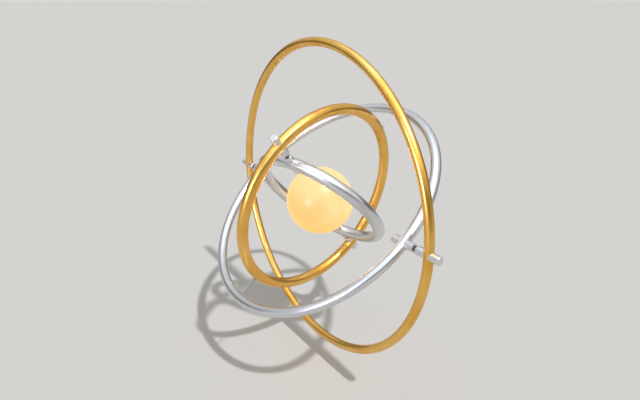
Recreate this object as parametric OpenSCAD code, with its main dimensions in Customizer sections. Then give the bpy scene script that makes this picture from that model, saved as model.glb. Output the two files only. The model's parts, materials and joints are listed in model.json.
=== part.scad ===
// Gimbal gyroscope: four rings, each turning in the one outside it, round a glowing globe.
// The origin is the common centre of the rings. +X runs along the trunnions of the outer ring,
// which stands upright in the XZ plane. +Z is up. Sizes are in millimetres.

/* [Rings] */
// Centreline radius of the innermost ring
inner_ring_r = 70; // [66:1:84]
// Step in centreline radius from each ring to the next one out
ring_step = 30; // [25:1:36]
// Diameter of the outer ring's round bar
outer_bar_d = 9; // [7.5:0.1:10.8]
// Diameter of the second ring's round bar
second_bar_d = 10; // [8.4:0.1:12]
// Diameter of the third ring's round bar
third_bar_d = 11; // [9.2:0.1:13.2]
// Diameter of the inner ring's round bar
inner_bar_d = 12; // [10:0.1:14.4]

/* [Pivot pins] */
// Diameter of the pins that pass through each ring
pin_d = 8; // [7.4:0.1:9.6]
// Free space between the facing ends of two pins
pin_gap = 4; // [3.4:0.1:4.8]
// Chamfer on the ends of the pins
pin_chamfer = 0.5; // [0.3:0.1:0.6]
// Diameter of the hollow shank that joins a pin's two halves through the bar
shank_d = 5; // [4.6:0.1:6]
// Length of shank screwed into the inner half of a pin
shank_grip = 3.5; // [2.9:0.1:4.2]
// Diameter of the steel spindles that join two pins
spindle_d = 3; // [2.5:0.1:3.6]
// Length of spindle held in its own pin, past the middle of the bar
spindle_seat = 3; // [2:0.1:4]
// Length of spindle that runs on past its bush
spindle_tail = 3; // [2:0.1:4]
// Thickness of the bush flanges
flange_t = 0.8; // [0.6:0.1:1]
// Width of the relief groove at the root of each trunnion, where a bearing seats
relief_w = 0.8; // [0.7:0.1:1]
// Depth of that groove
relief_depth = 0.2; // [0.2:0.1:0.3]
// Thickness of the caps that close the outer pins
cap_t = 1.2; // [1:0.1:1.5]
// Length of a cap's plug
cap_plug_l = 3; // [2:0.1:4]
// Diameter of the grub screws that lock the spindles
grub_d = 2; // [1.6:0.1:2.4]
// Distance of the grub screws from the end of their pin
grub_setback = 3; // [2.5:0.1:3.5]

/* [Needle pivots] */
// Diameter of the needles between the second and third rings
needle_d = 1.4; // [1.2:0.1:1.6]
// Diameter of the needles' threaded roots
needle_root_d = 2.4; // [2.1:0.1:2.8]
// Length of root that stands inside the second ring
needle_neck = 0.6; // [0.4:0.1:1]
// Diameter of the needles' slotted heads
needle_head_d = 3.6; // [3.2:0.1:4.3]
// Height of the needles' heads
needle_head_h = 1.4; // [1.1:0.1:1.7]
// Diameter of the cups that the needles turn in
cup_d = 3.2; // [2.8:0.1:3.8]
// Depth of the hole in a cup
cup_depth = 5; // [4:0.1:6]
// Width of the rim that stops a cup on the third ring
cup_rim = 0.4; // [0.3:0.1:0.6]

/* [Globe] */
// Diameter of the globe
globe_d = 70; // [64:1:84]
// Wall of the globe's shell
globe_wall = 2; // [1.6:0.1:2.4]
// Height of the collar above the globe's mouth
collar_h = 2.5; // [2:0.1:3]
// Width of the collar's rim outside the mouth
collar_rim = 1.6; // [1.2:0.1:2]
// Depth of the collar inside the mouth
collar_depth = 4.5; // [4:0.1:5.4]
// Diameter of the stem that carries the globe
stem_d = 5; // [4.4:0.1:5.6]
// Diameter of the journal that the globe turns on
journal_d = 4; // [3.4:0.1:4.2]
// Wall of the globe's two bushes
bush_wall = 2; // [1.6:0.1:2.4]
// Length of the globe's two bushes
bush_l = 5; // [4.2:0.1:6]
// Height of the rear bush's outer end above the globe's centre
rear_bush_top = 14; // [12:0.1:16]

/* [Lamp] */
// Diameter of a button cell
cell_d = 11.6; // [9.8:0.1:13.9]
// Thickness of a button cell
cell_h = 5.4; // [4.5:0.1:6]
// Number of button cells
cell_count = 3; // [2:1:3]
// Least wall of the six-sided core that holds the cells
core_wall = 1.5; // [1.2:0.1:1.8]
// Thickness of the strips that carry the light emitters
strip_t = 0.8; // [0.6:0.1:1]
// Width of the strips
strip_w = 6; // [5:0.1:7]
// Height of the light emitters above their strips
emitter_h = 0.8; // [0.6:0.1:1]
// Width of a light emitter
emitter_w = 2.8; // [2.3:0.1:3.4]
// Length of a light emitter
emitter_l = 3.5; // [2.9:0.1:4.2]
// Number of light emitters on each strip
emitters_per_strip = 4; // [2:1:5]
// Length of the brass weight that balances the stem
weight_l = 13.7; // [8:0.1:16.5]
// Travel of the switch ring
switch_travel = 0.8; // [0.6:0.1:1]
// Height of the switch ring above the collar
switch_h = 1.2; // [1.1:0.1:1.5]

/* [Pose in the photograph] */
// Tilt of the second ring about the trunnions
second_tilt = -49.7; // [-180:0.1:180]
// Turn of the third ring about the needles
third_turn = -74.6; // [-180:0.1:180]
// Tilt of the inner ring about its own pins
inner_tilt = -80.4; // [-180:0.1:180]

/* [Clearances] */
// Radial clearance of a shaft that turns in a bush
running_fit = 0.03; // [0.02:0.01:0.08]
// Radial clearance of a piece that is screwed or glued in place
seat_fit = 0.02; // [0.01:0.01:0.05]
// Free play between two faces that turn against each other
end_float = 0.1; // [0.05:0.05:0.2]
// Radial clearance of a piece that slides or passes freely
free_fit = 0.2; // [0.1:0.05:0.3]

/* [Hidden] */
OUTER = 0;
SECOND = 1;
THIRD = 2;
INNER = 3;
LEFT = -1;
RIGHT = 1;
UPPER = 1;
LOWER = -1;
CORE_SIDES = 6;

ring_r = [for (steps = [3:-1:0]) inner_ring_r + steps * ring_step];
bar_d = [outer_bar_d, second_bar_d, third_bar_d, inner_bar_d];
ring_holds_bushes = [true, false, true, false];

pin_reach = (ring_step - pin_gap) / 2;
spindle_bore_d = spindle_d + 2 * free_fit;
bush_flange_d = pin_d - 1.2;
spacer_d = shank_d - 0.4;
round_over = 0.4;
socket_d = 1.2;
socket_depth = 0.5;
slot_w = 0.7;
slot_depth = 0.6;

needle_tip_d = 0.6;
cup_flange_t = 0.4;
cup_floor = 1.2;

core_bore_d = cell_d + 2 * free_fit;
core_flats = core_bore_d + 2 * core_wall;
core_corner_r = core_flats / 2 / cos(180 / CORE_SIDES);
emitter_corner_r = norm([core_flats / 2 + strip_t + emitter_h, emitter_w / 2]);
mouth_r = max(core_corner_r, emitter_corner_r) + 2 * free_fit;
globe_r = globe_d / 2;
mouth_z = sqrt(pow(globe_r, 2) - pow(mouth_r, 2));
collar_top = mouth_z + collar_h;
collar_r = mouth_r + collar_rim;
collar_skirt = 2;
hub_d = journal_d + 2 * bush_wall;

core_top = mouth_z - collar_depth;
core_plug_l = 2;
rear_bush_end = rear_bush_top - bush_l;
bulkhead_t = 2;
bulkhead_end = rear_bush_end - bulkhead_t;
contact_t = 0.5;
cells_top = bulkhead_end - contact_t;
cells_end = cells_top - cell_count * cell_h;
board_t = 1;
board_end = cells_end - contact_t - board_t;
weight_end = board_end - end_float - weight_l;
end_cap_t = 1.5;
end_cap_plug_l = 2;
core_end = weight_end - end_cap_plug_l;

stem_end = rear_bush_end - end_float;
stem_shoulder_d = stem_d + 1.6;
stem_shoulder_l = 1.5;
end_screw_d = 1.6;
end_screw_l = 4;
end_screw_head_d = journal_d + 1;
end_screw_head_h = 1;

groove_floor = core_top + 1.5;
groove_in_r = hub_d / 2 + 1;
groove_out_r = mouth_r - 1.2;
groove_lip = 0.3;
groove_lip_z = collar_top - 1;
switch_plate_t = 0.6;

fine = 96;
gold = [0.86, 0.62, 0.22];
silver = [0.80, 0.81, 0.83];
steel = [0.66, 0.68, 0.71];
dark_steel = [0.22, 0.22, 0.24];
bronze = [0.66, 0.48, 0.30];
brass = [0.80, 0.64, 0.30];
opal = [1.00, 0.83, 0.48];
white = [0.93, 0.93, 0.90];
green = [0.10, 0.36, 0.20];

// ---- Places: each ring hangs in the one outside it ----

// Puts a child of a ring where the pose in the photograph has it
module on_ring(index) {
    if (index == OUTER) children();
    else if (index == SECOND) rotate([second_tilt, 0, 0]) children();
    else if (index == THIRD) on_ring(SECOND) rotate([0, 0, third_turn]) children();
    else on_ring(THIRD) rotate([inner_tilt, 0, 0]) children();
}

// Turns local +Z outwards along a ring's pins, to the left or the right
module along_pins(side) {
    rotate([0, 90 * side, 0]) children();
}

// Turns local +Z outwards along the needles, up or down
module along_needles(side) {
    rotate([90 - 90 * side, 0, 0]) children();
}

// Puts a child on the stem's line, with local +Z from the globe's centre towards the inner ring
module on_stem() {
    on_ring(INNER) along_pins(LEFT) children();
}

// ---- Shared shapes ----

// A solid of revolution about Z, from points given as [radius, height]
module turned(profile) {
    rotate_extrude($fn = fine) polygon(profile);
}

// A straight round rod or hole along Z, from one height to another
module rod(d, from, to) {
    translate([0, 0, from]) cylinder(d = d, h = to - from, $fn = fine);
}

// A round bar bent into a ring in the XZ plane
module bent_bar(index) {
    rotate([90, 0, 0]) rotate_extrude($fn = fine) translate([ring_r[index], 0])
        circle(d = bar_d[index], $fn = fine);
}

// A screwdriver slot across Z, with its floor at this height
module slot(width, floor_z) {
    translate([-width, -slot_w / 2, floor_z]) cube([2 * width, slot_w, 2 * slot_depth]);
}

// ---- Rings ----

module ring(index) {
    hole_from = ring_r[index] - bar_d[index];
    hole_to = ring_r[index] + bar_d[index];
    color(ring_holds_bushes[index] ? gold : silver) on_ring(index) difference() {
        bent_bar(index);
        for (side = [LEFT, RIGHT]) along_pins(side) rod(shank_d + 2 * seat_fit, hole_from, hole_to);
        if (index == SECOND) for (side = [UPPER, LOWER]) along_needles(side) {
            rod(needle_root_d + 2 * seat_fit, hole_from, hole_to);
            rod(needle_head_d + 2 * seat_fit, needle_head_z(), hole_to);
        }
        if (index == THIRD) for (side = [UPPER, LOWER]) along_needles(side)
            rod(cup_d + 2 * seat_fit, cup_seat(), hole_to);
    }
}

// ---- Pins: an outer half, the stub, is screwed through the bar into an inner half, the boss ----

function shank_end(index) = ring_r[index] - bar_d[index] / 2 - shank_grip;
function pin_outer_end(index) = ring_r[index] + pin_reach;
function pin_inner_end(index) = ring_r[index] - pin_reach;

// Puts a child on a grub screw's line, with local +Z from the spindle outwards. The two screws
// of a ring face opposite ways, so that it stays in balance
module on_grub_line(index, side) {
    along_pins(side) translate([0, 0, pin_outer_end(index) - grub_setback])
        rotate(index == SECOND ? [0, -90, 0] : [90 * side, 0, 0]) children();
}

module stub(index, side) {
    r = ring_r[index];
    capped = ring_holds_bushes[index];
    end = pin_outer_end(index) - (capped ? cap_t : 0);
    chamfer = capped ? 0 : pin_chamfer;
    bore_d = capped ? spindle_bore_d : spindle_d + 2 * seat_fit;
    root = r + bar_d[index] / 2;
    neck_r = pin_d / 2 - relief_depth;
    relief = index != OUTER ? [] : [
        [pin_d / 2, root], [neck_r, root], [neck_r, root + relief_w], [pin_d / 2, root + relief_w]];
    color(silver) on_ring(index) difference() {
        union() {
            difference() {
                along_pins(side) turned(concat([[0, r], [pin_d / 2, r]], relief, [
                    [pin_d / 2, end - chamfer], [pin_d / 2 - chamfer, end], [0, end]]));
                bent_bar(index);
            }
            along_pins(side) rod(shank_d, shank_end(index), r + bar_d[index] / 2 + 1);
        }
        along_pins(side) rod(bore_d, shank_end(index) - 1, end + 1);
        if (!capped) on_grub_line(index, side) rod(grub_d + 2 * seat_fit, 0, pin_d);
    }
}

module boss(index, side) {
    r = ring_r[index];
    end = pin_inner_end(index);
    carries_stem = index == INNER && side == LEFT;
    color(silver) on_ring(index) difference() {
        along_pins(side) turned([
            [0, end], [pin_d / 2 - pin_chamfer, end], [pin_d / 2, end + pin_chamfer], [pin_d / 2, r],
            [0, r]]);
        bent_bar(index);
        along_pins(side) rod(shank_d + 2 * seat_fit, shank_end(index), r + 1);
        if (ring_holds_bushes[index]) along_pins(side) rod(shank_d + 2 * seat_fit, end - 1, r);
        if (carries_stem) along_pins(side) rod(stem_d + 2 * seat_fit, end - 1, r);
    }
}

// A flanged bush in the open end of a boss
module bush(index, side) {
    end = pin_inner_end(index);
    bore_r = spindle_d / 2 + running_fit;
    color(bronze) on_ring(index) along_pins(side) turned([
        [bore_r, end - flange_t], [bush_flange_d / 2, end - flange_t], [bush_flange_d / 2, end],
        [shank_d / 2, end], [shank_d / 2, shank_end(index)], [bore_r, shank_end(index)]]);
}

// A cap that closes the outer end of a hollow stub
module cap(index, side) {
    end = pin_outer_end(index);
    seat = end - cap_t;
    plug_r = spindle_bore_d / 2 - seat_fit;
    color(silver) on_ring(index) along_pins(side) turned([
        [0, seat - cap_plug_l], [plug_r, seat - cap_plug_l], [plug_r, seat], [pin_d / 2, seat],
        [pin_d / 2, end - pin_chamfer], [pin_d / 2 - pin_chamfer, end], [0, end]]);
}

// A spindle, held in a stub of this ring and turning in the bush of the ring outside it
module spindle(index, side) {
    start = ring_r[index] - spindle_seat;
    end = shank_end(index - 1) + spindle_tail;
    color(dark_steel) on_ring(index) along_pins(side) turned([
        [0, start], [spindle_d / 2, start], [spindle_d / 2, end - round_over],
        [spindle_d / 2 - round_over, end], [0, end]]);
}

// A sleeve on a spindle, which fills the space between the stub and the bush
module spacer(index, side) {
    start = pin_outer_end(index);
    end = pin_inner_end(index - 1) - flange_t - end_float;
    bore_r = spindle_d / 2 + seat_fit;
    color(dark_steel) on_ring(index) along_pins(side) turned([
        [bore_r, start], [spacer_d / 2, start], [spacer_d / 2, end], [bore_r, end]]);
}

module grub_screws(index) {
    head_z = pin_d / 2 - round_over;
    color(dark_steel) on_ring(index) for (side = [LEFT, RIGHT]) on_grub_line(index, side) difference() {
        rod(grub_d, spindle_d / 2, head_z);
        translate([0, 0, head_z - socket_depth]) cylinder(d = socket_d, h = pin_d, $fn = 6);
    }
}

// ---- Needle pivots between the second and third rings ----

function needle_head_z() = ring_r[SECOND] + bar_d[SECOND] / 2 - needle_head_h;
function cup_mouth() = ring_r[THIRD] + bar_d[THIRD] / 2 + cup_flange_t;
function cup_seat() = cup_mouth() - cup_depth - cup_floor;

module needle(side) {
    tip = cup_mouth() - cup_depth + end_float;
    shaft_from = tip + (needle_d - needle_tip_d) / 2;
    root_from = ring_r[SECOND] - bar_d[SECOND] / 2 - needle_neck;
    head_top = needle_head_z() + needle_head_h - free_fit;
    color(steel) on_ring(SECOND) along_needles(side) difference() {
        turned([
            [0, tip], [needle_tip_d / 2, tip], [needle_d / 2, shaft_from], [needle_d / 2, root_from],
            [needle_root_d / 2, root_from], [needle_root_d / 2, needle_head_z()],
            [needle_head_d / 2, needle_head_z()], [needle_head_d / 2, head_top], [0, head_top]]);
        slot(needle_head_d, head_top - slot_depth);
    }
}

module needle_cup(side) {
    mouth = cup_mouth();
    floor_z = mouth - cup_depth;
    bore_r = needle_d / 2 + running_fit;
    rim_r = cup_d / 2 + cup_rim;
    color(bronze) on_ring(THIRD) along_needles(side) turned([
        [0, cup_seat()], [cup_d / 2, cup_seat()], [cup_d / 2, mouth - cup_flange_t],
        [rim_r, mouth - cup_flange_t], [rim_r, mouth], [bore_r, mouth],
        [bore_r, floor_z + bore_r - needle_tip_d / 2], [needle_tip_d / 2, floor_z], [0, floor_z]]);
}

// ---- Stem: screwed into the inner ring's left boss ----

module stem() {
    root = shank_end(INNER);
    shoulder = collar_top + end_float;
    color(steel) on_stem() difference() {
        turned([
            [0, stem_end], [journal_d / 2, stem_end], [journal_d / 2, shoulder],
            [stem_shoulder_d / 2, shoulder], [stem_shoulder_d / 2, shoulder + stem_shoulder_l],
            [stem_d / 2, shoulder + stem_shoulder_l], [stem_d / 2, root], [0, root]]);
        rod(end_screw_d + 2 * seat_fit, stem_end - 1, stem_end + end_screw_l);
    }
}

module end_screw() {
    head_z = stem_end - end_screw_head_h;
    tip = stem_end + end_screw_l - round_over;
    color(steel) on_stem() difference() {
        turned([
            [0, head_z], [end_screw_head_d / 2, head_z], [end_screw_head_d / 2, stem_end],
            [end_screw_d / 2, stem_end], [end_screw_d / 2, tip], [0, tip]]);
        slot(journal_d, head_z - slot_depth);
    }
}

// ---- Globe ----

module globe_shell() {
    color(opal) on_stem() difference() {
        sphere(r = globe_r, $fn = fine);
        sphere(r = globe_r - globe_wall, $fn = fine);
        rod(2 * mouth_r, 0, globe_d);
    }
}

// Closes the mouth, plugs the core and holds the front bush in its middle
module globe_collar() {
    plug_r = core_bore_d / 2 - seat_fit;
    spigot_r = mouth_r - seat_fit;
    bore_r = hub_d / 2 + seat_fit;
    color(silver) on_stem() difference() {
        turned([
            [bore_r, core_top - core_plug_l], [plug_r, core_top - core_plug_l], [plug_r, core_top],
            [spigot_r, core_top], [spigot_r, mouth_z - collar_skirt], [collar_r, mouth_z - collar_skirt],
            [collar_r, collar_top - pin_chamfer], [collar_r - pin_chamfer, collar_top],
            [bore_r, collar_top]]);
        difference() {
            sphere(r = globe_r, $fn = fine);
            rod(2 * spigot_r, 0, globe_d);
        }
        turned([
            [groove_in_r, groove_floor], [groove_out_r + groove_lip, groove_floor],
            [groove_out_r + groove_lip, groove_lip_z], [groove_out_r, groove_lip_z],
            [groove_out_r, collar_top + 1], [groove_in_r, collar_top + 1]]);
    }
}

// A plain bush on the journal, with its outer end at this height
module globe_bush(top) {
    color(bronze) on_stem() turned([
        [journal_d / 2 + running_fit, top - bush_l], [hub_d / 2, top - bush_l],
        [hub_d / 2, top], [journal_d / 2 + running_fit, top]]);
}

// ---- Lamp inside the globe ----

module lamp_core() {
    color(silver) on_stem() difference() {
        translate([0, 0, core_end])
            cylinder(r = core_corner_r, h = core_top - core_end, $fn = CORE_SIDES);
        rod(core_bore_d, core_end - 1, core_top + 1);
    }
}

// A partition in the core, with a cup for the rear bush and room for the stem's end screw
module lamp_bulkhead() {
    wall_r = core_bore_d / 2 - seat_fit;
    color(white) on_stem() difference() {
        rod(2 * wall_r, bulkhead_end, rear_bush_top);
        rod(hub_d + 2 * seat_fit, rear_bush_end, rear_bush_top + 1);
        rod(end_screw_head_d + 4 * free_fit, stem_end - end_screw_head_h - 2 * free_fit, rear_bush_top);
    }
}

// Puts a child on the middle of each flat side of the core, with local +X outwards
module on_core_sides() {
    for (side = [1:CORE_SIDES]) rotate([0, 0, (side + 0.5) * 360 / CORE_SIDES])
        translate([core_flats / 2, 0, 0]) children();
}

module light_strips() {
    color(white) on_stem() on_core_sides() translate([0, -strip_w / 2, core_end])
        cube([strip_t, strip_w, core_top - core_end]);
}

module light_emitters() {
    pitch = (core_top - core_end) / emitters_per_strip;
    color(opal) on_stem() on_core_sides() for (i = [0:emitters_per_strip - 1])
        translate([strip_t, -emitter_w / 2, core_end + (i + 0.5) * pitch - emitter_l / 2])
            cube([emitter_h, emitter_w, emitter_l]);
}

module button_cells() {
    rim = end_float / 2;
    color(steel) on_stem() for (i = [0:cell_count - 1])
        rod(cell_d, cells_end + i * cell_h + rim, cells_end + (i + 1) * cell_h - rim);
}

module cell_contacts() {
    color(bronze) on_stem() {
        rod(cell_d, cells_top, cells_top + contact_t);
        rod(cell_d, cells_end - contact_t, cells_end);
    }
}

module lamp_board() {
    color(green) on_stem() rod(core_bore_d - 2 * seat_fit, board_end, board_end + board_t);
}

module balance_weight() {
    color(brass) on_stem() rod(core_bore_d - 2 * seat_fit, weight_end, weight_end + weight_l);
}

module lamp_end_cap() {
    plug_r = core_bore_d / 2 - seat_fit;
    color(white) on_stem() turned([
        [0, core_end - end_cap_t], [core_flats / 2, core_end - end_cap_t], [core_flats / 2, core_end],
        [plug_r, core_end], [plug_r, weight_end], [0, weight_end]]);
}

// ---- Switch round the stem, in the collar's groove ----

module switch_plate() {
    in_r = groove_in_r + seat_fit;
    top = groove_floor + switch_plate_t;
    color(bronze) on_stem() turned([
        [in_r, groove_floor], [groove_out_r, groove_floor], [groove_out_r, top], [in_r, top]]);
}

module switch_ring() {
    in_r = groove_in_r + free_fit;
    out_r = groove_out_r - free_fit;
    flange_r = out_r + groove_lip;
    start = groove_floor + switch_plate_t + switch_travel + end_float;
    top = collar_top + switch_h;
    color(white) on_stem() turned([
        [in_r, start], [flange_r, start], [flange_r, groove_lip_z - end_float],
        [out_r, groove_lip_z - end_float], [out_r, top - round_over], [out_r - round_over, top],
        [in_r, top]]);
}

// ---- Nodes ----

ring(OUTER);  // outer_ring
stub(OUTER, LEFT);  // outer_stub_left
stub(OUTER, RIGHT);  // outer_stub_right
boss(OUTER, LEFT);  // outer_boss_left
boss(OUTER, RIGHT);  // outer_boss_right
bush(OUTER, LEFT);  // outer_bush_left
bush(OUTER, RIGHT);  // outer_bush_right
cap(OUTER, LEFT);  // outer_cap_left
cap(OUTER, RIGHT);  // outer_cap_right

ring(SECOND);  // second_ring
stub(SECOND, LEFT);  // second_stub_left
stub(SECOND, RIGHT);  // second_stub_right
boss(SECOND, LEFT);  // second_boss_left
boss(SECOND, RIGHT);  // second_boss_right
spindle(SECOND, LEFT);  // second_spindle_left
spindle(SECOND, RIGHT);  // second_spindle_right
spacer(SECOND, LEFT);  // second_spacer_left
spacer(SECOND, RIGHT);  // second_spacer_right
grub_screws(SECOND);  // second_grub_screws
needle(UPPER);  // needle_upper
needle(LOWER);  // needle_lower

ring(THIRD);  // third_ring
stub(THIRD, LEFT);  // third_stub_left
stub(THIRD, RIGHT);  // third_stub_right
boss(THIRD, LEFT);  // third_boss_left
boss(THIRD, RIGHT);  // third_boss_right
bush(THIRD, LEFT);  // third_bush_left
bush(THIRD, RIGHT);  // third_bush_right
cap(THIRD, LEFT);  // third_cap_left
cap(THIRD, RIGHT);  // third_cap_right
needle_cup(UPPER);  // needle_cup_upper
needle_cup(LOWER);  // needle_cup_lower

ring(INNER);  // inner_ring
stub(INNER, LEFT);  // inner_stub_left
stub(INNER, RIGHT);  // inner_stub_right
boss(INNER, LEFT);  // inner_boss_left
boss(INNER, RIGHT);  // inner_boss_right
spindle(INNER, LEFT);  // inner_spindle_left
spindle(INNER, RIGHT);  // inner_spindle_right
spacer(INNER, LEFT);  // inner_spacer_left
spacer(INNER, RIGHT);  // inner_spacer_right
grub_screws(INNER);  // inner_grub_screws
stem();  // globe_stem
end_screw();  // stem_end_screw

globe_shell();
globe_collar();
globe_bush(collar_top);  // globe_bush_front
globe_bush(rear_bush_top);  // globe_bush_rear
lamp_core();
lamp_bulkhead();
light_strips();
light_emitters();
button_cells();
cell_contacts();
lamp_board();
balance_weight();
lamp_end_cap();
switch_plate();
switch_ring();
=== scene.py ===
"""Looks of the gimbal gyroscope: four polished rings on turned steel pins round a glowing globe.

Every length is in metres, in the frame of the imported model. The origin is the common centre of the
rings, +X runs along the trunnions of the outer ring and +Z is up.
"""

from __future__ import annotations

import json
import logging
import math
from dataclasses import dataclass, field
from enum import Enum
from typing import Any, Iterable, Mapping, Sequence, Union

import bpy
from mathutils import Matrix, Vector

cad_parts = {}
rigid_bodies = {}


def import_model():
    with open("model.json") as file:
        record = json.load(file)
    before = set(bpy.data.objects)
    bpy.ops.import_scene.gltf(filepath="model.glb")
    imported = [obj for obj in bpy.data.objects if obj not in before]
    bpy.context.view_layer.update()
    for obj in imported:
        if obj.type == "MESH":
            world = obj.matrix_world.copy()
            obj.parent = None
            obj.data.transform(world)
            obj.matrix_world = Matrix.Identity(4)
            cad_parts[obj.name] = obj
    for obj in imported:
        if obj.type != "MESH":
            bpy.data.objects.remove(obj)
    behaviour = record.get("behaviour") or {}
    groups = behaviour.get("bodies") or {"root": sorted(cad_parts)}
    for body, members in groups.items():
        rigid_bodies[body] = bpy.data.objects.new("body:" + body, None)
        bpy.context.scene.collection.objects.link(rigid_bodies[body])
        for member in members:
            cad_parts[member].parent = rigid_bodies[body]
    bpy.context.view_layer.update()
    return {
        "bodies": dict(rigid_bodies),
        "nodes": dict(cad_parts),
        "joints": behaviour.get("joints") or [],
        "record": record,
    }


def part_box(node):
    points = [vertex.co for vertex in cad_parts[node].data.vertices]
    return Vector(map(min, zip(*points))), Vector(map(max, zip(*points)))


MM = 0.001
LOG = logging.getLogger("gyroscope")

Colour = tuple[float, float, float]
Term = Union["Wire", float, Sequence[float]]


# ---------------------------------------------------------------------------------------------
# Shader graphs
# ---------------------------------------------------------------------------------------------


@dataclass(frozen=True)
class Wire:
    """One output socket of a shader graph, with the arithmetic that the finishes use.

    Attributes:
        graph: The graph that the socket belongs to.
        socket: The output socket itself.
    """

    graph: "Graph"
    socket: bpy.types.NodeSocket

    @property
    def is_vector(self) -> bool:
        """Whether the socket carries a vector or a colour."""
        return self.socket.type in {"VECTOR", "RGBA"}

    def __add__(self, other: Term) -> "Wire":
        """Adds a term to this wire."""
        return self.graph.arithmetic("ADD", self, other)

    def __radd__(self, other: Term) -> "Wire":
        """Adds this wire to a term."""
        return self.graph.arithmetic("ADD", other, self)

    def __sub__(self, other: Term) -> "Wire":
        """Takes a term from this wire."""
        return self.graph.arithmetic("SUBTRACT", self, other)

    def __rsub__(self, other: Term) -> "Wire":
        """Takes this wire from a term."""
        return self.graph.arithmetic("SUBTRACT", other, self)

    def __mul__(self, other: Term) -> "Wire":
        """Multiplies this wire by a term."""
        return self.graph.arithmetic("MULTIPLY", self, other)

    def __rmul__(self, other: Term) -> "Wire":
        """Multiplies a term by this wire."""
        return self.graph.arithmetic("MULTIPLY", other, self)

    def __pow__(self, other: float) -> "Wire":
        """Raises this wire to a power."""
        return self.graph.arithmetic("POWER", self, other)

    def __abs__(self) -> "Wire":
        """Takes the size of this wire without its sign."""
        return self.graph.node("ShaderNodeMath", {"operation": "ABSOLUTE"}, {0: self})


class Graph:
    """The node graph of one material or of the world."""

    def __init__(self, owner: Union[bpy.types.Material, bpy.types.World]) -> None:
        """Empties a graph, ready for new nodes.

        Args:
            owner: The material or the world that has the graph.
        """
        owner.use_nodes = True
        self.owner = owner
        self._tree = owner.node_tree
        self._tree.nodes.clear()

    @classmethod
    def of_material(cls, name: str) -> "Graph":
        """Makes a new material of that name, and returns its graph."""
        return cls(bpy.data.materials.new(name))

    def node(
        self,
        kind: str,
        settings: Mapping[str, Any] | None = None,
        inputs: Mapping[Union[str, int], Term] | None = None,
        output: Union[str, int] = 0,
    ) -> Wire:
        """Adds one node.

        Args:
            kind: The node's type, as Blender names it.
            settings: Its properties, which are set first.
            inputs: Values or wires, by the socket's identifier, name or number.
            output: The name or number of the output to hand back.

        Returns:
            The chosen output of the new node, or its input where it ends a graph and has no output.
        """
        made = self._tree.nodes.new(kind)
        for key, value in (settings or {}).items():
            setattr(made, key, value)
        for key, value in (inputs or {}).items():
            socket = self._input(made, key)
            if isinstance(value, Wire):
                self._tree.links.new(value.socket, socket)
            else:
                socket.default_value = self._fitted(socket, value)
        return Wire(self, (made.outputs or made.inputs)[output])

    def arithmetic(self, operation: str, left: Term, right: Term) -> Wire:
        """Adds a Math node, or a Vector Math node where a term is a vector or a colour.

        Args:
            operation: The operation, as Blender names it.
            left: The first term.
            right: The second term.

        Returns:
            The result.
        """
        terms = (left, right)
        vector = any(t.is_vector if isinstance(t, Wire) else not isinstance(t, (int, float)) for t in terms)
        kind = "ShaderNodeVectorMath" if vector else "ShaderNodeMath"
        return self.node(kind, {"operation": operation}, {0: left, 1: right})

    def place(self) -> Wire:
        """The point on the piece, in metres, in the frame of the model at rest."""
        return self.node("ShaderNodeTexCoord", output="Object")

    def along(self, point: Wire, axis: Sequence[float]) -> Wire:
        """How far a point lies along an axis through the origin.

        Args:
            point: The point.
            axis: The axis's direction, of length one.

        Returns:
            The distance along the axis.
        """
        inputs = {0: point, 1: tuple(axis)}
        return self.node("ShaderNodeVectorMath", {"operation": "DOT_PRODUCT"}, inputs, "Value")

    def length(self, vector: Wire) -> Wire:
        """The length of a vector."""
        return self.node("ShaderNodeVectorMath", {"operation": "LENGTH"}, {0: vector}, "Value")

    def combined(self, x: Term, y: Term, z: Term) -> Wire:
        """A vector made of three numbers."""
        return self.node("ShaderNodeCombineXYZ", None, {"X": x, "Y": y, "Z": z})

    def noise(self, at: Wire, spot: float = 1.0, detail: float = 2.0, rough: float = 0.5) -> Wire:
        """Smooth noise from 0 to 1.

        Args:
            at: Where it is read.
            spot: The size of its spots.
            detail: How many finer octaves it has.
            rough: How strong the finer octaves are.

        Returns:
            The noise's value.
        """
        inputs = {"Vector": at, "Scale": 1 / spot, "Detail": detail, "Roughness": rough}
        return self.node("ShaderNodeTexNoise", None, inputs, "Fac")

    def streaks(self, axes: Sequence[Wire], length: float, width: float, detail: float, rough: float) -> Wire:
        """Noise that is drawn out along the first of three axes.

        Args:
            axes: The distances along the three axes.
            length: The length of a streak.
            width: The width of a streak.
            detail: How many finer octaves it has.
            rough: How strong the finer octaves are.

        Returns:
            The noise's value, from 0 to 1.
        """
        along, *aside = axes
        at = self.combined(along * (1 / length), *(wire * (1 / width) for wire in aside))
        return self.noise(at, 1.0, detail, rough)

    def cells(self, at: Wire, spot: float, metric: str = "EUCLIDEAN") -> Wire:
        """The distance to the nearest of many scattered points.

        Args:
            at: Where it is read.
            spot: How far apart the points are.
            metric: How the distance is measured, as Blender names it.

        Returns:
            The distance, in spots.
        """
        inputs = {"Vector": at, "Scale": 1 / spot}
        return self.node("ShaderNodeTexVoronoi", {"distance": metric}, inputs, "Distance")

    def step(self, value: Wire, low: float, high: float) -> Wire:
        """A smooth step.

        Args:
            value: What it follows.
            low: The value at which it is 0. It may be the larger, for a falling step.
            high: The value at which it is 1.

        Returns:
            The step, from 0 to 1.
        """
        falls = low > high
        inputs = {"Value": value, "From Min": min(low, high), "From Max": max(low, high)}
        inputs |= {"To Min": float(falls), "To Max": float(not falls)}
        return self.node("ShaderNodeMapRange", {"interpolation_type": "SMOOTHSTEP"}, inputs)

    def mix(self, share: Term, first: Term, second: Term) -> Wire:
        """A colour between two colours.

        Args:
            share: How much of the second colour, from 0 to 1.
            first: The colour at 0.
            second: The colour at 1.

        Returns:
            The mixed colour.
        """
        inputs = {"Factor_Float": share, "A_Color": first, "B_Color": second}
        return self.node("ShaderNodeMix", {"data_type": "RGBA"}, inputs, 2)

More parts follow.
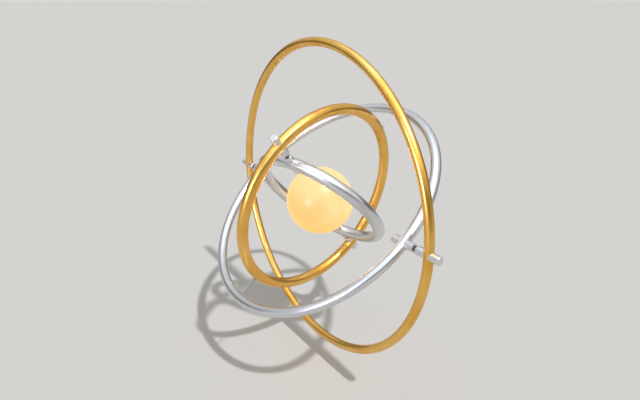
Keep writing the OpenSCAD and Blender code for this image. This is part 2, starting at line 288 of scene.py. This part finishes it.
    def bump(self, height: Wire, depth: float, strength: float) -> Wire:
        """A normal bent by a height.

        Args:
            height: The height, from 0 to 1.
            depth: The depth in metres that 1 stands for.
            strength: The share of the bend that is kept.

        Returns:
            The bent normal.
        """
        return self.node("ShaderNodeBump", None, {"Height": height, "Distance": depth, "Strength": strength})

    def surface(self, inputs: Mapping[str, Term]) -> bpy.types.Material:
        """Ends the graph with one Principled surface.

        Args:
            inputs: Its sockets' values or wires.

        Returns:
            The finished material.
        """
        shader = self.node("ShaderNodeBsdfPrincipled", None, inputs)
        self.node("ShaderNodeOutputMaterial", None, {"Surface": shader})
        return self.owner

    @staticmethod
    def _input(made: bpy.types.Node, key: Union[str, int]) -> bpy.types.NodeSocket:
        """A node's input socket, by identifier, then by name or number."""
        return next((s for s in made.inputs if s.identifier == key), None) or made.inputs[key]

    @staticmethod
    def _fitted(socket: bpy.types.NodeSocket, value: Term) -> Any:
        """A value in the form that its socket takes."""
        if socket.type == "RGBA":
            return (*value, 1.0)
        if socket.type == "VECTOR" and isinstance(value, (int, float)):
            return (value, value, value)
        return value


# ---------------------------------------------------------------------------------------------
# Where things are
# ---------------------------------------------------------------------------------------------


class Level(Enum):
    """The rings from the outside in, by the name of the body that each one is."""

    OUTER = "outer"
    SECOND = "second"
    THIRD = "third"
    INNER = "inner"


@dataclass(frozen=True)
class Turns:
    """How far each ring is turned in the one outside it, in degrees, as in the photograph.

    Attributes:
        second_tilt: The second ring's tilt about the trunnions.
        third_turn: The third ring's turn about the needles.
        inner_tilt: The inner ring's tilt about its own pins.
    """

    second_tilt: float = -49.7
    third_turn: float = -74.6
    inner_tilt: float = -80.4

    def frame(self, level: Level) -> Matrix:
        """A ring's own axes: its pins, its normal and its needles are the columns.

        Args:
            level: The ring.

        Returns:
            A 3 by 3 rotation.
        """
        frame = Matrix.Identity(3)
        steps = [(self.second_tilt, "X"), (self.third_turn, "Z"), (self.inner_tilt, "X")]
        for angle, axis in steps[: list(Level).index(level)]:
            frame = frame @ Matrix.Rotation(math.radians(angle), 3, axis)
        return frame


class Axis(Enum):
    """A ring's own axes, by the column of its frame."""

    PINS = 0
    NORMAL = 1
    NEEDLES = 2

    def of(self, frame: Matrix) -> tuple[float, float, float]:
        """This axis's direction in the model's frame."""
        return tuple(frame.col[self.value])


# ---------------------------------------------------------------------------------------------
# Finishes
# ---------------------------------------------------------------------------------------------


class Plating(Enum):
    """The two platings of the rings: fresh colour, deeper colour, and the colour under wear."""

    GOLD = ((0.87, 0.535, 0.145), (0.74, 0.35, 0.035), (0.93, 0.70, 0.38))
    SILVER = ((0.735, 0.745, 0.76), (0.61, 0.625, 0.655), (0.82, 0.815, 0.79))


@dataclass(frozen=True)
class PolishedBar:
    """A polished and plated round bar bent into a ring.

    Attributes:
        plating: The plating's colours.
        radius: The ring's centreline radius.
        frame: The ring's own axes.
        polish: The roughness of the best polished stretches.
        line: The length and width of a polishing line.
        ripple: The length and width of a ripple that drawing the bar left.
        scuff: The length and width of a scuff, which lies across the bar.
        cloud: The size of a patch where the plating is thicker.
        smear: The size of a smear.
        bloom: How far from a pin's axis the handling shows, at its strongest and at its end.
        relief: The height of the lines and ripples.
    """

    plating: Plating
    radius: float
    frame: Matrix
    polish: float = 0.27
    line: tuple[float, float] = (33 * MM, 0.4 * MM)
    ripple: tuple[float, float] = (110 * MM, 1.5 * MM)
    scuff: tuple[float, float] = (2.4 * MM, 11 * MM)
    cloud: float = 45 * MM
    smear: float = 10.5 * MM
    bloom: tuple[float, float] = (4.2 * MM, 8.5 * MM)
    relief: float = 0.005 * MM

    def material(self, name: str) -> bpy.types.Material:
        """Builds the finish, and returns the material of that name."""
        g = Graph.of_material(name)
        fresh, deep, worn = self.plating.value
        place = g.place()
        pins, out, up = (g.along(place, axis.of(self.frame)) for axis in Axis)
        turn = g.node("ShaderNodeMath", {"operation": "ARCTAN2"}, {0: up, 1: pins})
        across = (pins * pins + up * up) ** 0.5 - self.radius
        axes = (abs(turn) * self.radius, across, out)

        lines = g.streaks(axes, *self.line, 3.0, 0.65)
        ripples = g.streaks(axes, *self.ripple, 2.0, 0.5)
        scuffs = g.step(g.streaks(axes, *self.scuff, 2.0, 0.7), 0.66, 0.74)
        clouds = g.noise(place, self.cloud, 3.0, 0.55)
        smears = g.noise(place, self.smear, 4.0, 0.6)
        near, far = self.bloom
        handled = g.step((up * up + out * out) ** 0.5, far, near)

        tone = g.mix(g.step(clouds, 0.35, 0.70) * 0.65, fresh, deep)
        tone = g.mix(g.step(lines, 0.55, 0.80) * 0.28, tone, worn)
        tone = g.mix(handled * g.step(smears, 0.25, 0.65) * 0.45, tone, deep)
        rough = self.polish + 0.08 * lines + 0.05 * g.step(smears, 0.45, 0.75)
        rough = rough + 0.08 * handled + 0.06 * scuffs
        return g.surface({
            "Base Color": tone, "Metallic": 1.0, "Roughness": rough,
            "Normal": g.bump(lines * 0.30 + ripples * 0.70, self.relief, 0.45),
        })


class Metal(Enum):
    """The turned metals: the clean metal, its duller patches, and the least roughness."""

    PIN_STEEL = ((0.76, 0.77, 0.77), (0.62, 0.63, 0.64), 0.30)
    BLACKENED_STEEL = ((0.13, 0.13, 0.14), (0.05, 0.05, 0.055), 0.30)
    NEEDLE_STEEL = ((0.42, 0.42, 0.42), (0.36, 0.36, 0.37), 0.38)
    STEM_ALUMINIUM = ((0.80, 0.81, 0.82), (0.62, 0.63, 0.65), 0.26)
    SCREW_STEEL = ((0.72, 0.73, 0.75), (0.50, 0.51, 0.53), 0.18)
    CELL_CAN = ((0.74, 0.75, 0.77), (0.60, 0.60, 0.62), 0.15)
    CONTACT_BRONZE = ((0.80, 0.50, 0.26), (0.52, 0.30, 0.15), 0.24)
    WEIGHT_BRASS = ((0.86, 0.63, 0.26), (0.62, 0.42, 0.16), 0.26)


@dataclass(frozen=True)
class TurnedMetal:
    """Bar turned on a lathe: fine marks run round its axis, on the sides and on the faces.

    Attributes:
        metal: Which metal it is.
        axis: The direction of the lathe's axis, through the origin.
        pitch: How far apart the tool marks are.
        ring: How far apart the broader bands are.
        patch: The size of a dull patch.
        nick: How far apart the nicks are.
        swirl: How fast the marks on a face change from the axis outwards, for each metre.
        depth: The depth of a mark.
    """

    metal: Metal
    axis: tuple[float, float, float]
    pitch: float = 0.19 * MM
    ring: float = 1.1 * MM
    patch: float = 6.2 * MM
    nick: float = 1.6 * MM
    swirl: float = 60.0
    depth: float = 0.0012 * MM

    def material(self, name: str) -> bpy.types.Material:
        """Builds the finish, and returns the material of that name."""
        g = Graph.of_material(name)
        colour, stain, roughness = self.metal.value
        place = g.place()
        run = g.along(place, self.axis)
        foot = place - g.combined(*(run * part for part in self.axis))
        section = g.combined(run, g.length(foot), 0.0)
        cut = g.noise(section * (1 / self.pitch) + foot * self.swirl, 1.0, 2.0, 0.6)
        bands = g.noise(section, self.ring, 1.0, 0.4)
        patches = g.noise(place, self.patch, 4.0, 0.6)
        nicks = g.step(g.cells(place, self.nick), 0.10, 0.04)
        tone = g.mix(g.step(patches, 0.42, 0.72) * 0.55, colour, stain)
        return g.surface({
            "Base Color": g.mix(nicks * 0.25, tone, stain), "Metallic": 1.0,
            "Roughness": roughness + 0.12 * cut + 0.10 * g.step(patches, 0.45, 0.70),
            "Normal": g.bump(cut * 0.7 + bands * 0.3 - nicks * 0.4, self.depth, 0.6),
        })


@dataclass(frozen=True)
class OiledBronze:
    """Sintered bronze: open pores, fine grain and an uneven film of oil.

    Attributes:
        colour: The dry bronze.
        oil: The bronze under oil, and in its pores.
        pore: How far apart the pores are.
        grain: The size of a grain.
        film: The size of a patch of oil.
        depth: The depth of a pore.
    """

    colour: Colour = (0.56, 0.34, 0.17)
    oil: Colour = (0.30, 0.17, 0.08)
    pore: float = 0.28 * MM
    grain: float = 0.19 * MM
    film: float = 4.2 * MM
    depth: float = 0.02 * MM

    def material(self, name: str) -> bpy.types.Material:
        """Builds the finish, and returns the material of that name."""
        g = Graph.of_material(name)
        place = g.place()
        pores = g.step(g.cells(place, self.pore), 0.22, 0.10)
        grains = g.noise(place, self.grain, 3.0, 0.6)
        film = g.noise(place, self.film, 3.0, 0.55)
        tone = g.mix(g.step(film, 0.35, 0.70) * 0.6 + pores * 0.4, self.colour, self.oil)
        return g.surface({
            "Base Color": tone, "Metallic": 1.0,
            "Roughness": 0.30 + 0.16 * grains - 0.10 * g.step(film, 0.45, 0.70) + 0.2 * pores,
            "Normal": g.bump(grains * 0.3 - pores, self.depth, 0.7),
        })


@dataclass(frozen=True)
class BlastedAluminium:
    """Bead-blasted and clear anodised aluminium, with fine pits and faint handling marks.

    Attributes:
        colour: The clean surface.
        dull: The handled patches.
        pit: The size of a pit.
        patch: The size of a handled patch.
        depth: The depth of a pit.
    """

    colour: Colour = (0.78, 0.79, 0.80)
    dull: Colour = (0.60, 0.61, 0.63)
    pit: float = 0.14 * MM
    patch: float = 8.3 * MM
    depth: float = 0.012 * MM

    def material(self, name: str) -> bpy.types.Material:
        """Builds the finish, and returns the material of that name."""
        g = Graph.of_material(name)
        place = g.place()
        pits = g.noise(place, self.pit, 2.0, 0.7)
        patches = g.noise(place, self.patch, 3.0, 0.55)
        return g.surface({
            "Base Color": g.mix(g.step(patches, 0.40, 0.75) * 0.5, self.colour, self.dull),
            "Metallic": 1.0, "Roughness": 0.36 + 0.14 * pits + 0.05 * patches,
            "Normal": g.bump(pits, self.depth, 0.8),
        })


@dataclass(frozen=True)
class OpalGlow:
    """The translucent shell of the globe, lit from inside by rows of emitters.

    Attributes:
        axis: The globe's own axis, from its centre to its mouth.
        shell: The colour of the unlit plastic.
        cloudy: The unlit plastic where it is thinner.
        near: The glow over the emitters.
        far: The glow between the emitters, and towards the bottom, where it stands for painted shade.
        streak: The glow along a flow line of the moulding.
        strength: The strength of the glow.
        belt: How far from the globe's middle, along its axis, the emitters' glow ends and is full.
        painted_top_light: How fast the glow grows paler with height, for each metre: a painted highlight that
            lightens the top of the globe as light from above would.
        cloud: The size of a thinner patch.
        flow: The size of a flow line.
        grain: The size of the texture's grain.
        depth: The depth of the texture.
    """

    axis: tuple[float, float, float]
    shell: Colour = (0.16, 0.115, 0.045)
    cloudy: Colour = (0.20, 0.15, 0.07)
    near: Colour = (1.0, 0.79, 0.37)
    far: Colour = (1.0, 0.57, 0.12)
    streak: Colour = (1.0, 0.78, 0.42)
    strength: float = 0.88
    belt: tuple[float, float] = (30 * MM, 6 * MM)
    painted_top_light: float = 13.0
    cloud: float = 25 * MM
    flow: float = 3.1 * MM
    grain: float = 0.15 * MM
    depth: float = 0.006 * MM

    def material(self, name: str) -> bpy.types.Material:
        """Builds the finish, and returns the material of that name."""
        g = Graph.of_material(name)
        place = g.place()
        belt = g.step(abs(g.along(place, self.axis)), *self.belt)
        height = g.along(place, (0.0, 0.0, 1.0))
        clouds = g.noise(place, self.cloud, 3.0, 0.5)
        flow = g.noise(place * (1.0, 1.0, 0.4), self.flow, 3.0, 0.55)
        grains = g.noise(place, self.grain, 2.0, 0.6)
        # Painted highlight: the glow is painted paler towards the top, as light from above would make it; the
        # belt follows the emitters and the clouds are thinner patches of the shell.
        paler = g.step(belt * 0.30 + height * self.painted_top_light + clouds * 0.45, 0.0, 0.75)
        glow = g.mix(paler, self.far, self.near)
        return g.surface({
            "Base Color": g.mix(clouds * 0.35, self.shell, self.cloudy),
            "Roughness": 0.33 + 0.10 * grains + 0.06 * flow, "Specular IOR Level": 0.5,
            "Emission Color": g.mix(g.step(flow, 0.50, 0.80) * 0.18, glow, self.streak),
            "Emission Strength": self.strength,
            "Normal": g.bump(grains * 0.6 + flow * 0.4, self.depth, 0.5),
        })


@dataclass(frozen=True)
class MouldedPlastic:
    """A moulded or printed plastic with a spark-eroded texture and slight unevenness of colour.

    Attributes:
        colour: The plastic's colour.
        aged: The colour of its older patches.
        roughness: The least roughness.
        glow: The colour that it gives off, where it glows.
        strength: The strength of that glow.
        texture: The size of the texture's grain.
        patch: The size of an older patch.
        depth: The depth of the texture.
    """

    colour: Colour
    aged: Colour
    roughness: float = 0.42
    glow: Colour = (0.0, 0.0, 0.0)
    strength: float = 0.0
    texture: float = 0.18 * MM
    patch: float = 5.3 * MM
    depth: float = 0.01 * MM

    def material(self, name: str) -> bpy.types.Material:
        """Builds the finish, and returns the material of that name."""
        g = Graph.of_material(name)
        place = g.place()
        texture = g.noise(place, self.texture, 2.0, 0.65)
        patches = g.noise(place, self.patch, 3.0, 0.5)
        inputs: dict[str, Term] = {
            "Base Color": g.mix(g.step(patches, 0.35, 0.75) * 0.6, self.colour, self.aged),
            "Roughness": self.roughness + 0.12 * texture,
            "Normal": g.bump(texture, self.depth, 0.6),
        }
        if self.strength:
            inputs |= {"Emission Color": g.mix(patches * 0.5, self.glow, self.aged)}
            inputs |= {"Emission Strength": self.strength}
        return g.surface(inputs)


@dataclass(frozen=True)
class CircuitBoard:
    """Green lacquered board with copper tracks under the lacquer.

    Attributes:
        lacquer: The lacquer over bare board.
        track: The lacquer over copper.
        net: How far apart the tracks are.
        weave: The size of the glass weave's threads.
        depth: The height of a track.
    """

    lacquer: Colour = (0.02, 0.13, 0.05)
    track: Colour = (0.06, 0.25, 0.09)
    net: float = 2.4 * MM
    weave: float = 0.38 * MM
    depth: float = 0.03 * MM

    def material(self, name: str) -> bpy.types.Material:
        """Builds the finish, and returns the material of that name."""
        g = Graph.of_material(name)
        place = g.place()
        tracks = g.step(g.cells(place, self.net, "CHEBYCHEV"), 0.46, 0.40)
        weave = g.noise(place, self.weave, 1.0, 0.5)
        return g.surface({
            "Base Color": g.mix(tracks, self.lacquer, self.track), "Roughness": 0.24 + 0.10 * weave,
            "Normal": g.bump(tracks * 0.7 + weave * 0.3, self.depth, 0.6),
        })


# ---------------------------------------------------------------------------------------------
# Sub-assemblies
# ---------------------------------------------------------------------------------------------


class Shop:
    """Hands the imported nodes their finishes, and keeps count of what was dressed."""

    def __init__(self, nodes: Mapping[str, bpy.types.Object]) -> None:
        """Keeps the nodes.

        Args:
            nodes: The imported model's nodes, by name.
        """
        self._nodes = dict(nodes)
        self._dressed: set[str] = set()

    def dress(self, names: Iterable[str], material: bpy.types.Material) -> None:
        """Gives nodes one material.

        Args:
            names: The nodes.
            material: Their material.
        """
        for name in names:
            mesh = self._nodes[name].data
            mesh.materials.clear()
            mesh.materials.append(material)
            self._dressed.add(name)
            low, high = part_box(name)
            size = " x ".join(f"{side / MM:.1f}" for side in high - low)
            LOG.info("%s: %d vertices, %s mm, %s", name, len(mesh.vertices), size, material.name)

    def left(self) -> list[str]:
        """The nodes that have no finish yet."""
        return sorted(set(self._nodes) - self._dressed)


@dataclass
class GimbalRing:
    """One ring: its plated bar and the two turned pins through it.

    Attributes:
        shop: Where finishes are handed out.
        level: Which ring it is.
        plating: The bar's plating.
        radius: The bar's centreline radius.
        bar_radius: The bar's own radius.
        frame: The ring's own axes.
        sides: The names of its two sides.
        slack: How far the bar may be from where its frame says.
    """

    shop: Shop
    level: Level
    plating: Plating
    radius: float
    bar_radius: float
    frame: Matrix
    sides: tuple[str, str] = ("left", "right")
    slack: float = 0.5 * MM

    @property
    def pins(self) -> tuple[float, float, float]:
        """The direction of its pins."""
        return Axis.PINS.of(self.frame)

    def names(self, *parts: str) -> list[str]:
        """The nodes of these parts on both sides."""
        return [f"{self.level.value}_{part}_{side}" for part in parts for side in self.sides]

    def dress_bar(self) -> None:
        """Plates the bar, and warns if the bar isn't where its own frame says."""
        node = f"{self.level.value}_ring"
        finish = PolishedBar(self.plating, self.radius, self.frame)
        self.shop.dress([node], finish.material(f"{self.plating.name.lower()}_{self.level.value}"))
        normal = Axis.NORMAL.of(self.frame)
        expected = [self.radius * math.sqrt(1 - n * n) + self.bar_radius for n in normal]
        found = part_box(node)[1]
        if max(abs(a - b) for a, b in zip(expected, found)) > self.slack:
            LOG.warning("%s isn't where its frame says", node)

    def dress_pins(self) -> None:
        """Turns the stubs, bosses and, where it has them, the caps."""
        steel = TurnedMetal(Metal.PIN_STEEL, self.pins)
        caps = self.names("cap") if self.level in (Level.OUTER, Level.THIRD) else []
        self.shop.dress(self.names("stub", "boss") + caps, steel.material(f"pin_steel_{self.level.value}"))

    def dress(self) -> None:
        """Dresses the bar and the pins."""
        self.dress_bar()
        self.dress_pins()


@dataclass
class BushedRing(GimbalRing):
    """A gold ring, whose pins hold bronze bushes."""

    plating: Plating = field(default=Plating.GOLD, kw_only=True)

    def dress(self) -> None:
        """Dresses the bar, the pins and the bushes."""
        super().dress()
        bronze = OiledBronze().material(f"bush_bronze_{self.level.value}")
        self.shop.dress(self.names("bush"), bronze)


@dataclass
class SpindledRing(GimbalRing):
    """A silver ring, whose pins hold steel spindles with spacers and grub screws."""

    plating: Plating = field(default=Plating.SILVER, kw_only=True)

    def dress(self) -> None:
        """Dresses the bar, the pins and the blackened steel."""
        super().dress()
        black = TurnedMetal(Metal.BLACKENED_STEEL, self.pins)
        names = self.names("spindle", "spacer") + [f"{self.level.value}_grub_screws"]
        self.shop.dress(names, black.material(f"blackened_steel_{self.level.value}"))


@dataclass
class NeedlePivots:
    """The two needles in the second ring and the cups in the third that they turn in.

    Attributes:
        shop: Where finishes are handed out.
        frame: The second ring's own axes.
    """

    shop: Shop
    frame: Matrix

    def dress(self) -> None:
        """Polishes the needles and oils the cups."""
        needle = TurnedMetal(Metal.NEEDLE_STEEL, Axis.NEEDLES.of(self.frame))
        self.shop.dress(["needle_upper", "needle_lower"], needle.material("needle_steel"))
        cups = OiledBronze(colour=(0.60, 0.40, 0.20)).material("cup_bronze")
        self.shop.dress(["needle_cup_upper", "needle_cup_lower"], cups)


@dataclass
class GlobeAndLamp:
    """The stem, the globe on it, the lamp inside the globe and its switch.

    Attributes:
        shop: Where finishes are handed out.
        frame: The inner ring's own axes.
    """

    shop: Shop
    frame: Matrix

    @property
    def axis(self) -> tuple[float, float, float]:
        """The direction from the globe's centre to its mouth."""
        return tuple(-part for part in Axis.PINS.of(self.frame))

    def dress_stem(self) -> None:
        """Dresses the stem and its end screw."""
        stem = TurnedMetal(Metal.STEM_ALUMINIUM, self.axis, pitch=0.24 * MM)
        self.shop.dress(["globe_stem"], stem.material("stem_aluminium"))
        screw = TurnedMetal(Metal.SCREW_STEEL, self.axis)
        self.shop.dress(["stem_end_screw"], screw.material("screw_steel"))

    def dress_globe(self) -> None:
        """Dresses the shell, the collar and the two bushes."""
        self.shop.dress(["globe_shell"], OpalGlow(self.axis).material("opal_glow"))
        self.shop.dress(["globe_collar", "lamp_core"], BlastedAluminium().material("blasted_aluminium"))
        self.shop.dress(["globe_bush_front", "globe_bush_rear"], OiledBronze().material("globe_bronze"))

    def dress_lamp(self) -> None:
        """Dresses what the shell hides: boards, emitters, cells, contacts, weight and end pieces."""
        white = MouldedPlastic(colour=(0.86, 0.86, 0.82), aged=(0.78, 0.75, 0.66))
        self.shop.dress(["lamp_bulkhead", "lamp_end_cap", "switch_ring"], white.material("white_plastic"))
        strip = MouldedPlastic(colour=(0.84, 0.84, 0.81), aged=(0.74, 0.73, 0.68), roughness=0.30)
        self.shop.dress(["light_strips"], strip.material("strip_board"))
        phosphor = MouldedPlastic(
            colour=(0.95, 0.80, 0.35), aged=(1.0, 0.70, 0.25), roughness=0.30,
            glow=(1.0, 0.78, 0.40), strength=0.8,
        )
        self.shop.dress(["light_emitters"], phosphor.material("emitter_phosphor"))
        self.shop.dress(["lamp_board"], CircuitBoard().material("circuit_board"))
        can = TurnedMetal(Metal.CELL_CAN, self.axis, pitch=0.14 * MM)
        self.shop.dress(["button_cells"], can.material("cell_can"))
        contact = TurnedMetal(Metal.CONTACT_BRONZE, self.axis)
        self.shop.dress(["cell_contacts", "switch_plate"], contact.material("contact_bronze"))
        weight = TurnedMetal(Metal.WEIGHT_BRASS, self.axis, pitch=0.33 * MM)
        self.shop.dress(["balance_weight"], weight.material("weight_brass"))

    def dress(self) -> None:
        """Dresses all of it."""
        self.dress_stem()
        self.dress_globe()
        self.dress_lamp()


# ---------------------------------------------------------------------------------------------
# Studio
# ---------------------------------------------------------------------------------------------


@dataclass(frozen=True)
class KeyLight:
    """The one light that casts the shadows, from where the photograph's light comes.

    Attributes:
        towards: The direction from the origin to it.
        strength: How much light falls on a sheet that faces it.
        spread: How wide it looks, in degrees, which softens its shadows.
        distance: How far off it is drawn, which its light doesn't depend on.
    """

    towards: tuple[float, float, float] = (0.602, -0.018, 0.80)
    strength: float = 1.75
    spread: float = 1.9
    distance: float = 2.0

    def build(self) -> bpy.types.Object:
        """Makes the light, and returns its object."""
        light = bpy.data.lights.new("key_light", "SUN")
        light.energy = self.strength
        light.angle = math.radians(self.spread)
        lamp = bpy.data.objects.new("key_light", light)
        aim(lamp, self.towards, self.distance)
        return lamp


@dataclass(frozen=True)
class SoftBox:
    """A soft lamp that only reflections see, which draws one of the highlights along the bars.

    Attributes:
        name: Its name.
        towards: The direction from the origin to it.
        distance: How far off it is.
        width: Its width.
        height: Its height.
        brightness: How bright it looks, where 1 is white.
        tint: Its colour.
    """

    name: str
    towards: tuple[float, float, float]
    distance: float
    width: float
    height: float
    brightness: float
    tint: Colour = (1.0, 1.0, 1.0)

    def build(self) -> bpy.types.Object:
        """Makes the lamp, and returns its object."""
        light = bpy.data.lights.new(self.name, "AREA")
        light.color = self.tint
        light.shape = "RECTANGLE"
        light.size, light.size_y = self.width, self.height
        light.energy = self.brightness * math.pi * self.width * self.height
        lamp = bpy.data.objects.new(self.name, light)
        aim(lamp, self.towards, self.distance)
        hide_from(lamp, "camera", "diffuse")
        return lamp


@dataclass(frozen=True)
class WarmGlow:
    """The globe's own light, as the polished bars round it see it; the globe doesn't hide it from them.

    Attributes:
        colour: Its colour.
        radius: A little less than the globe's, so that the globe's own skin doesn't see it.
        brightness: How bright it looks, where 1 is white.
    """

    colour: Colour = (1.0, 0.58, 0.44)
    radius: float = 34.6 * MM
    brightness: float = 1.6

    def build(self) -> bpy.types.Object:
        """Makes the light, and returns its object."""
        light = bpy.data.lights.new("warm_glow", "POINT")
        light.color = self.colour
        light.shadow_soft_size = self.radius
        light.use_soft_falloff = light.use_shadow = False
        light.cycles.use_multiple_importance_sampling = False
        light.energy = self.brightness * (2 * math.pi * self.radius) ** 2
        lamp = bpy.data.objects.new("warm_glow", light)
        hide_from(lamp, "camera", "diffuse")
        return lamp


@dataclass(frozen=True)
class DarkCurtain:
    """A dark curtain round the set, which only reflections see, in front of the pale backdrop.

    It draws the dark line along a polished bar.

    Attributes:
        radius: How far off it hangs.
        low: The height of its lower edge.
        high: The height of its upper edge.
        fade: The height from which it grows paler.
        shade: The colour that its lower part looks, where 1 is white.
        rim: The colour that its upper edge looks.
        folds: The number of flat sides it is made of.
    """

    radius: float = 2.4
    low: float = -0.19
    high: float = 0.95
    fade: float = 0.50
    shade: Colour = (0.11, 0.095, 0.08)
    rim: Colour = (0.55, 0.55, 0.55)
    folds: int = 64

    def build(self) -> bpy.types.Object:
        """Makes the curtain, and returns its object."""
        turn = 2 * math.pi / self.folds
        n, r = self.folds, self.radius
        ring = [(r * math.cos(i * turn), r * math.sin(i * turn)) for i in range(n)]
        corners = [(x, y, z) for z in (self.low, self.high) for x, y in ring]
        faces = [(i, (i + 1) % n, n + (i + 1) % n, n + i) for i in range(n)]
        mesh = bpy.data.meshes.new("curtain")
        mesh.from_pydata(corners, [], faces)
        g = Graph.of_material("curtain")
        height = g.along(g.place(), (0.0, 0.0, 1.0))
        shade = g.mix(g.step(height, self.fade, self.high), self.shade, self.rim)
        mesh.materials.append(g.surface({
            "Base Color": (0.0, 0.0, 0.0), "Roughness": 1.0, "Specular IOR Level": 0.0,
            "Emission Color": shade, "Emission Strength": 1.0,
        }))
        curtain = bpy.data.objects.new("curtain", mesh)
        hide_from(curtain, "camera", "diffuse", "transmission", "volume_scatter", "shadow")
        return curtain


def hide_from(thing: bpy.types.Object, *rays: str) -> None:
    """Hides a lamp or the curtain from some kinds of rays.

    Args:
        thing: The object.
        rays: The kinds of rays, as Blender names them.
    """
    for kind in rays:
        setattr(thing, f"visible_{kind}", False)


def aim(thing: bpy.types.Object, towards: Sequence[float], distance: float) -> None:
    """Puts a lamp or the camera off the origin, facing it.

    Args:
        thing: The object.
        towards: The direction from the origin to it.
        distance: How far off it goes.
    """
    direction = Vector(towards).normalized()
    thing.location = direction * distance
    thing.rotation_mode = "QUATERNION"
    thing.rotation_quaternion = (-direction).to_track_quat("-Z", "Y")


@dataclass
class Studio:
    """The pale floor, the soft light and the camera.

    Attributes:
        eye: Where the photograph was taken from.
        lens: The camera's focal length in millimetres.
        sensor: The width of the camera's sensor in millimetres.
        floor_z: The height of the floor.
        floor_half: Half the floor's width.
        floor_colour: The floor's colour.
        floor_shade: How much darker its clouds are.
        air: The colour of the backdrop and of the light from all round.
        pale: The backdrop's brightness.
        ambient: The brightness of the light from all round.
    """

    eye: tuple[float, float, float] = (0.44807, -0.3029, 0.2)
    lens: float = 30.909
    sensor: float = 36.0
    floor_z: float = -0.19
    floor_half: float = 60.0
    floor_colour: Colour = (0.74, 0.735, 0.72)
    floor_shade: float = 0.965
    air: Colour = (1.0, 0.995, 0.985)
    pale: float = 0.70
    ambient: float = 0.46

    def build(self) -> None:
        """Builds the floor, the world, the lamps, the curtain and the camera."""
        self._link(self.build_floor())
        self.build_world()
        for item in (*self.lamps(), DarkCurtain()):
            self._link(item.build())
        self.build_camera()

    def build_floor(self) -> bpy.types.Object:
        """Makes the floor, and returns its object."""
        half, z = self.floor_half, self.floor_z
        mesh = bpy.data.meshes.new("floor")
        corners = [(-half, -half, z), (half, -half, z), (half, half, z), (-half, half, z)]
        mesh.from_pydata(corners, [], [(0, 1, 2, 3)])
        g = Graph.of_material("floor_paper")
        place = g.place()
        clouds = g.noise(place, 0.45, 3.0, 0.5)
        tooth = g.noise(place, 1.1 * MM, 2.0, 0.6)
        darker = tuple(part * self.floor_shade for part in self.floor_colour)
        mesh.materials.append(g.surface({
            "Base Color": g.mix(clouds * 0.7 + tooth * 0.3, self.floor_colour, darker),
            "Roughness": 0.88, "Specular IOR Level": 0.0,
            "Normal": g.bump(tooth, 0.05 * MM, 0.4),
        }))
        floor = bpy.data.objects.new("floor", mesh)
        return floor

    def build_world(self) -> None:
        """Makes the pale backdrop, which reflections see only above the curtain, and its dimmer light."""
        world = bpy.data.worlds.new("studio")
        g = Graph(world)
        shown, glossy, through = (
            g.node("ShaderNodeLightPath", output=f"Is {ray} Ray")
            for ray in ("Camera", "Glossy", "Transmission")
        )
        for ray in (glossy, through):
            shown = g.arithmetic("MAXIMUM", shown, ray)
        dim, bright = (
            g.node("ShaderNodeBackground", None, {"Color": self.air, "Strength": level})
            for level in (self.ambient, self.pale)
        )
        backdrop = g.node("ShaderNodeMixShader", None, {0: shown, 1: dim, 2: bright})
        g.node("ShaderNodeOutputWorld", None, {"Surface": backdrop})
        bpy.context.scene.world = world

    @staticmethod
    def lamps() -> list[Union[KeyLight, SoftBox, WarmGlow]]:
        """The key light, and the boxes that only draw highlights."""
        return [
            KeyLight(),
            SoftBox("side_lamp", (0.286, -0.943, 0.162), distance=1.8, width=0.34, height=0.34,
                    brightness=58.0, tint=(0.74, 0.80, 1.0)),
            SoftBox("front_box", (0.68, -0.50, 0.53), distance=1.8, width=0.55, height=0.45,
                    brightness=2.5, tint=(0.66, 0.75, 1.0)),
            SoftBox("top_box", (0.12, -0.12, 0.98), distance=1.3, width=1.6, height=1.6,
                    brightness=1.7, tint=(0.66, 0.75, 1.0)),
            SoftBox("left_box", (-0.35, -0.92, 0.30), distance=1.8, width=0.22, height=1.3, brightness=1.2),
            SoftBox("right_box", (0.95, 0.60, 0.30), distance=1.8, width=0.30, height=1.3, brightness=1.2),
            WarmGlow(),
        ]

    def build_camera(self) -> None:
        """Puts the camera where the photograph was taken from."""
        data = bpy.data.cameras.new("camera")
        data.lens, data.sensor_width = self.lens, self.sensor
        data.clip_start, data.clip_end = 0.01, 200.0
        camera = bpy.data.objects.new("camera", data)
        aim(camera, self.eye, Vector(self.eye).length)
        self._link(camera)
        bpy.context.scene.camera = camera

    @staticmethod
    def _link(thing: bpy.types.Object) -> None:
        """Links an object to the scene."""
        bpy.context.scene.collection.objects.link(thing)


def main() -> None:
    """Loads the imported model, dresses it piece by piece and sets up the studio."""
    logging.basicConfig(level=logging.INFO, format="%(name)s: %(message)s")
    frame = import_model()
    bpy.context.scene.view_settings.view_transform = "Standard"

    shop = Shop(frame["nodes"])
    turns = Turns()
    frames = {level: turns.frame(level) for level in Level}
    parts = [
        BushedRing(shop, Level.OUTER, radius=160 * MM, bar_radius=4.5 * MM, frame=frames[Level.OUTER]),
        SpindledRing(shop, Level.SECOND, radius=130 * MM, bar_radius=5.0 * MM, frame=frames[Level.SECOND]),
        NeedlePivots(shop, frames[Level.SECOND]),
        BushedRing(shop, Level.THIRD, radius=100 * MM, bar_radius=5.5 * MM, frame=frames[Level.THIRD]),
        SpindledRing(shop, Level.INNER, radius=70 * MM, bar_radius=6.0 * MM, frame=frames[Level.INNER]),
        GlobeAndLamp(shop, frames[Level.INNER]),
    ]
    for part in parts:
        part.dress()
    if shop.left():
        raise ValueError(f"no finish for {', '.join(shop.left())}")

    Studio().build()


if __name__ == "__main__":
    main()
